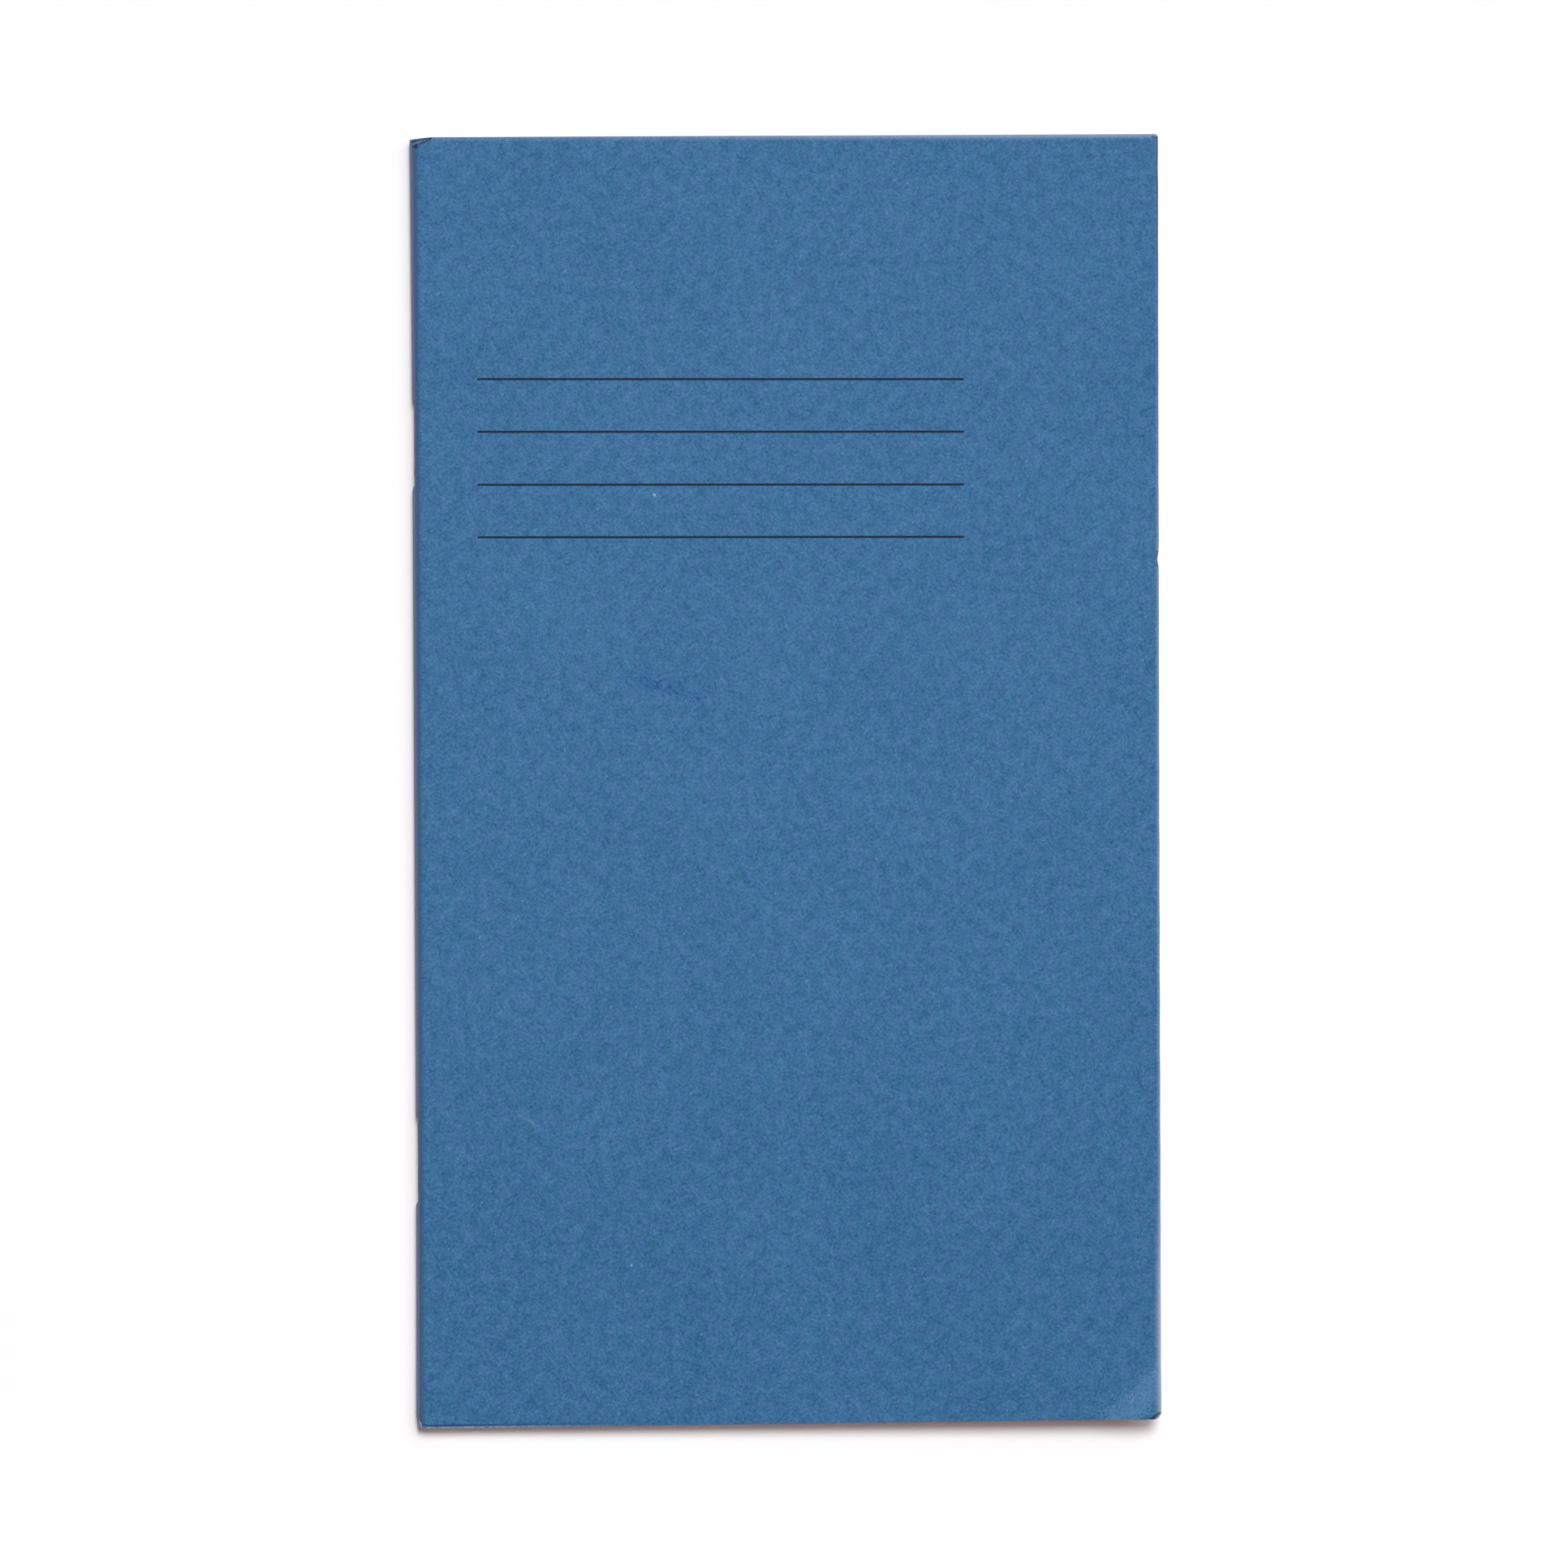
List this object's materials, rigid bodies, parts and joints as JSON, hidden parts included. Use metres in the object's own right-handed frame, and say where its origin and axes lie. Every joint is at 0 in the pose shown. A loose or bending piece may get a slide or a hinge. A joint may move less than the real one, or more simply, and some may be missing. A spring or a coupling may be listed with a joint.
{
  "type": "stapled exercise book",
  "caption": "Tall pocket exercise book: a folded card cover and nested ruled sheets, held at the fold by wire staples. The cover opens and the leaves turn.",
  "frame": {"origin": "under the middle of the closed book, on the surface that its back cover lies on", "axes": "+Z out of the front cover, +Y towards the head of the page, the spine at -X"},
  "size_m": [0.1174, 0.203, 0.0033],
  "materials": {
    "cover_card": "matt",
    "page_paper": "matt",
    "staple_wire": "satin"
  },
  "bodies": {
    "back_cover": {"cover_back": "cover_card"},
    "spine": {"cover_spine": "cover_card", "sheet_1_fold": "page_paper", "sheet_2_fold": "page_paper", "sheet_3_fold": "page_paper", "sheet_4_fold": "page_paper", "sheet_5_fold": "page_paper", "sheet_6_fold": "page_paper", "sheet_7_fold": "page_paper", "sheet_8_fold": "page_paper", "staple_top": "staple_wire", "staple_bottom": "staple_wire"},
    "leaf_01": {"sheet_1_front_leaf": "page_paper"},
    "leaf_02": {"sheet_2_front_leaf": "page_paper"},
    "leaf_03": {"sheet_3_front_leaf": "page_paper"},
    "leaf_04": {"sheet_4_front_leaf": "page_paper"},
    "leaf_05": {"sheet_5_front_leaf": "page_paper"},
    "leaf_06": {"sheet_6_front_leaf": "page_paper"},
    "leaf_07": {"sheet_7_front_leaf": "page_paper"},
    "leaf_08": {"sheet_8_front_leaf": "page_paper"},
    "leaf_09": {"sheet_8_back_leaf": "page_paper"},
    "leaf_10": {"sheet_7_back_leaf": "page_paper"},
    "leaf_11": {"sheet_6_back_leaf": "page_paper"},
    "leaf_12": {"sheet_5_back_leaf": "page_paper"},
    "leaf_13": {"sheet_4_back_leaf": "page_paper"},
    "leaf_14": {"sheet_3_back_leaf": "page_paper"},
    "leaf_15": {"sheet_2_back_leaf": "page_paper"},
    "leaf_16": {"sheet_1_back_leaf": "page_paper"},
    "front_cover": {"cover_front": "cover_card"}
  },
  "joints": [
    {"name": "book_open", "type": "hinge", "parent": "back_cover", "child": "leaf_01", "pos_m": [-0.05706, 0, 0.00164], "axis": [0, -1, 0], "range_deg": [0, 178]},
    {"name": "spine_turn", "type": "hinge", "parent": "back_cover", "child": "spine", "pos_m": [-0.05706, 0, 0.00164], "axis": [0, -1, 0], "range_deg": [0, 89]},
    {"name": "leaf_02_turn", "type": "hinge", "parent": "back_cover", "child": "leaf_02", "pos_m": [-0.05706, 0, 0.00164], "axis": [0, -1, 0], "range_deg": [0, 176.8]},
    {"name": "leaf_03_turn", "type": "hinge", "parent": "back_cover", "child": "leaf_03", "pos_m": [-0.05706, 0, 0.00164], "axis": [0, -1, 0], "range_deg": [0, 175.6]},
    {"name": "leaf_04_turn", "type": "hinge", "parent": "back_cover", "child": "leaf_04", "pos_m": [-0.05706, 0, 0.00164], "axis": [0, -1, 0], "range_deg": [0, 174.3]},
    {"name": "leaf_05_turn", "type": "hinge", "parent": "back_cover", "child": "leaf_05", "pos_m": [-0.05706, 0, 0.00164], "axis": [0, -1, 0], "range_deg": [0, 173.1]},
    {"name": "leaf_06_turn", "type": "hinge", "parent": "back_cover", "child": "leaf_06", "pos_m": [-0.05706, 0, 0.00164], "axis": [0, -1, 0], "range_deg": [0, 171.8]},
    {"name": "leaf_07_turn", "type": "hinge", "parent": "back_cover", "child": "leaf_07", "pos_m": [-0.05706, 0, 0.00164], "axis": [0, -1, 0], "range_deg": [0, 170.6]},
    {"name": "leaf_08_turn", "type": "hinge", "parent": "back_cover", "child": "leaf_08", "pos_m": [-0.05706, 0, 0.00164], "axis": [0, -1, 0], "range_deg": [0, 169.3]},
    {"name": "leaf_09_turn", "type": "hinge", "parent": "back_cover", "child": "leaf_09", "pos_m": [-0.05706, 0, 0.00164], "axis": [0, -1, 0], "range_deg": [0, 10]},
    {"name": "leaf_10_turn", "type": "hinge", "parent": "back_cover", "child": "leaf_10", "pos_m": [-0.05706, 0, 0.00164], "axis": [0, -1, 0], "range_deg": [0, 8.8]},
    {"name": "leaf_11_turn", "type": "hinge", "parent": "back_cover", "child": "leaf_11", "pos_m": [-0.05706, 0, 0.00164], "axis": [0, -1, 0], "range_deg": [0, 7.5]},
    {"name": "leaf_12_turn", "type": "hinge", "parent": "back_cover", "child": "leaf_12", "pos_m": [-0.05706, 0, 0.00164], "axis": [0, -1, 0], "range_deg": [0, 6.3]},
    {"name": "leaf_13_turn", "type": "hinge", "parent": "back_cover", "child": "leaf_13", "pos_m": [-0.05706, 0, 0.00164], "axis": [0, -1, 0], "range_deg": [0, 5]},
    {"name": "leaf_14_turn", "type": "hinge", "parent": "back_cover", "child": "leaf_14", "pos_m": [-0.05706, 0, 0.00164], "axis": [0, -1, 0], "range_deg": [0, 3.8]},
    {"name": "leaf_15_turn", "type": "hinge", "parent": "back_cover", "child": "leaf_15", "pos_m": [-0.05706, 0, 0.00164], "axis": [0, -1, 0], "range_deg": [0, 2.5]},
    {"name": "leaf_16_turn", "type": "hinge", "parent": "back_cover", "child": "leaf_16", "pos_m": [-0.05706, 0, 0.00164], "axis": [0, -1, 0], "range_deg": [0, 1.3]},
    {"name": "front_cover_open", "type": "hinge", "parent": "leaf_01", "child": "front_cover", "pos_m": [-0.05524, 0, 0.00333], "axis": [0, -1, 0], "range_deg": [0, 178]}
  ],
  "couplings": [
    {"joint": "spine_turn", "follows": "book_open", "ratio": 0.5},
    {"joint": "leaf_02_turn", "follows": "book_open", "ratio": 0.993},
    {"joint": "leaf_03_turn", "follows": "book_open", "ratio": 0.986},
    {"joint": "leaf_04_turn", "follows": "book_open", "ratio": 0.979},
    {"joint": "leaf_05_turn", "follows": "book_open", "ratio": 0.972},
    {"joint": "leaf_06_turn", "follows": "book_open", "ratio": 0.965},
    {"joint": "leaf_07_turn", "follows": "book_open", "ratio": 0.958},
    {"joint": "leaf_08_turn", "follows": "book_open", "ratio": 0.951},
    {"joint": "leaf_09_turn", "follows": "book_open", "ratio": 0.056},
    {"joint": "leaf_10_turn", "follows": "book_open", "ratio": 0.049},
    {"joint": "leaf_11_turn", "follows": "book_open", "ratio": 0.042},
    {"joint": "leaf_12_turn", "follows": "book_open", "ratio": 0.035},
    {"joint": "leaf_13_turn", "follows": "book_open", "ratio": 0.028},
    {"joint": "leaf_14_turn", "follows": "book_open", "ratio": 0.021},
    {"joint": "leaf_15_turn", "follows": "book_open", "ratio": 0.014},
    {"joint": "leaf_16_turn", "follows": "book_open", "ratio": 0.007}
  ]
}
